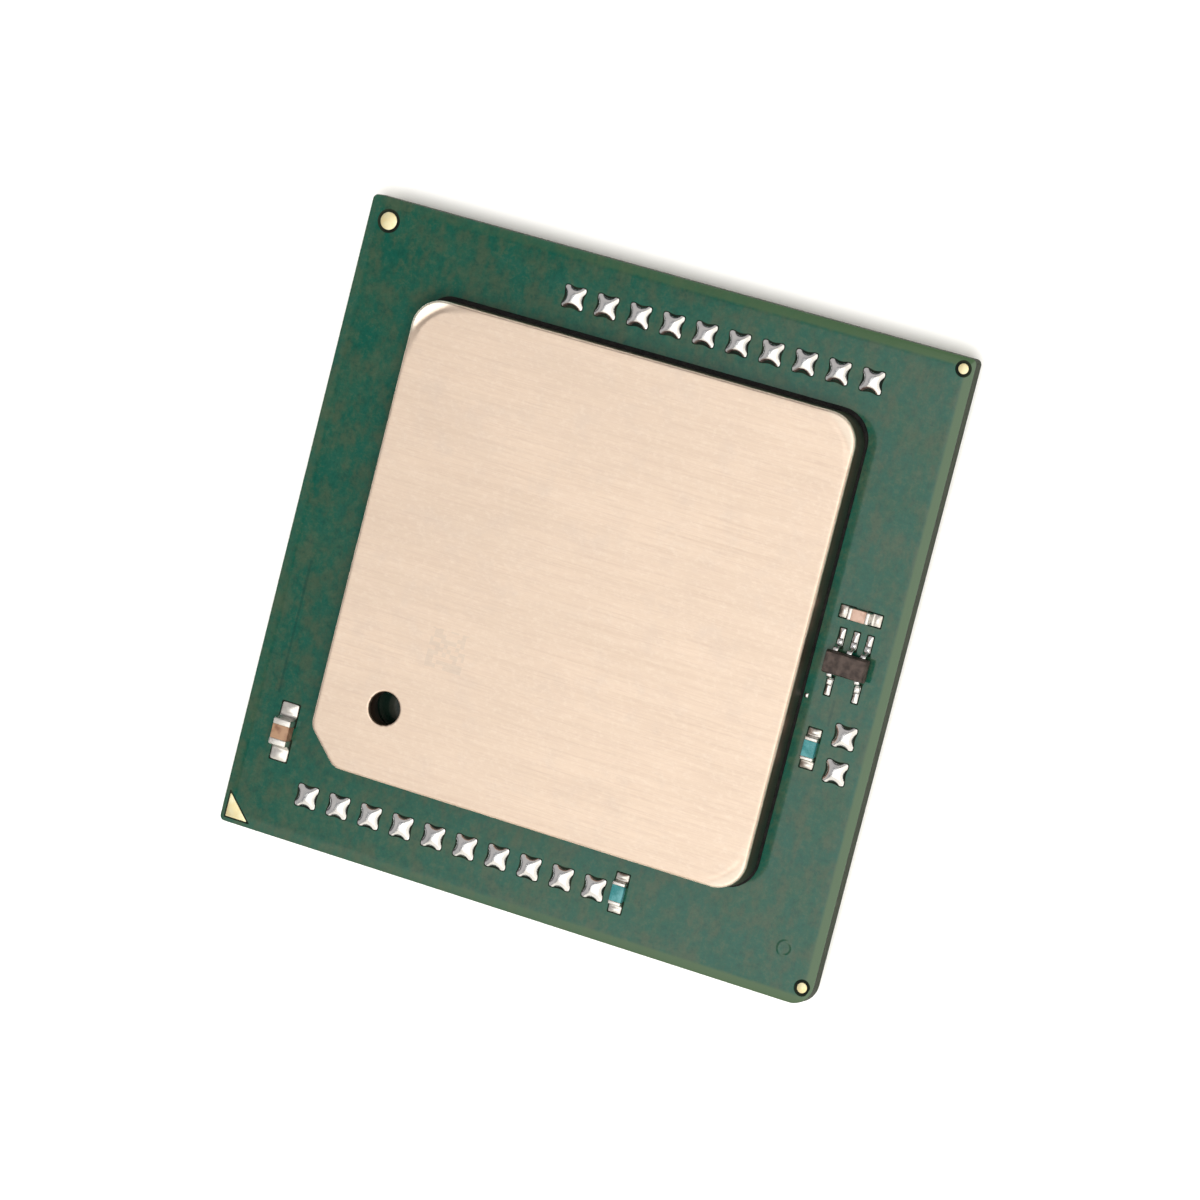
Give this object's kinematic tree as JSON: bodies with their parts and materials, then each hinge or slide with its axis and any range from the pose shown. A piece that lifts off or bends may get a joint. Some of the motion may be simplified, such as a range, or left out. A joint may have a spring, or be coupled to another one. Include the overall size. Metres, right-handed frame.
{
  "type": "pin-grid processor package",
  "caption": "Square green laminate processor package with a brushed nickel heat spreader lid, gold pins below, and rows of soldered test pads and small chip parts around the lid.",
  "frame": {"origin": "under the centre of the board, in the plane of the pins' tips", "axes": "+Z out of the lid's flat face; +X along the rows of test pads, with the pin-one corner at -X, -Y; +Y towards the row of test pads that lies nearer the corner opposite pin one"},
  "size_m": [0.0426, 0.0426, 0.0054],
  "materials": {
    "laminate": "matte",
    "solder_mask": "satin",
    "nickel_plate": "satin",
    "sealant": "matte",
    "thermal_compound": "matte",
    "silicon": "gloss",
    "underfill_resin": "satin",
    "gold_plate": "gloss",
    "tin_solder": "satin",
    "tan_ceramic": "satin",
    "teal_glaze": "gloss",
    "black_resin": "matte"
  },
  "bodies": {
    "root": {"substrate_core": "laminate", "build_up_layers_top": "laminate", "build_up_layers_bottom": "laminate", "solder_mask_top": "solder_mask", "solder_mask_bottom": "solder_mask", "heat_spreader": "nickel_plate", "lid_sealant": "sealant", "thermal_interface": "thermal_compound", "silicon_die": "silicon", "underfill": "underfill_resin", "pins_north": "gold_plate", "pins_south": "gold_plate", "pins_west": "gold_plate", "pins_east": "gold_plate", "pin_one_marker": "gold_plate", "fiducial_northwest": "gold_plate", "fiducial_northeast": "gold_plate", "fiducial_southeast": "gold_plate", "test_pads_north": "tin_solder", "test_pads_south": "tin_solder", "test_pads_east": "tin_solder", "capacitor_west_body": "tan_ceramic", "capacitor_west_terminal_south": "tin_solder", "capacitor_west_terminal_north": "tin_solder", "resistor_south_body": "teal_glaze", "resistor_south_terminal_south": "tin_solder", "resistor_south_terminal_north": "tin_solder", "capacitor_east_body": "tan_ceramic", "capacitor_east_terminal_west": "tin_solder", "capacitor_east_terminal_east": "tin_solder", "resistor_east_body": "teal_glaze", "resistor_east_terminal_south": "tin_solder", "resistor_east_terminal_north": "tin_solder", "five_lead_chip_body": "black_resin", "five_lead_chip_lead_1": "tin_solder", "five_lead_chip_lead_2": "tin_solder", "five_lead_chip_lead_3": "tin_solder", "five_lead_chip_lead_4": "tin_solder", "five_lead_chip_lead_5": "tin_solder", "die_side_capacitor_1": "tan_ceramic", "die_side_capacitor_2": "tan_ceramic", "die_side_capacitor_3": "tan_ceramic", "die_side_capacitor_4": "tan_ceramic", "die_side_capacitor_5": "tan_ceramic", "die_side_capacitor_6": "tan_ceramic", "pin_side_capacitor_1": "tan_ceramic", "pin_side_capacitor_2": "tan_ceramic", "pin_side_capacitor_3": "tan_ceramic", "pin_side_capacitor_4": "tan_ceramic", "pin_side_capacitor_5": "tan_ceramic", "pin_side_capacitor_6": "tan_ceramic", "pin_side_capacitor_7": "tan_ceramic", "pin_side_capacitor_8": "tan_ceramic", "pin_side_capacitor_9": "tan_ceramic", "pin_side_capacitor_10": "tan_ceramic", "pin_side_capacitor_11": "tan_ceramic", "pin_side_capacitor_12": "tan_ceramic"}
  },
  "joints": []
}
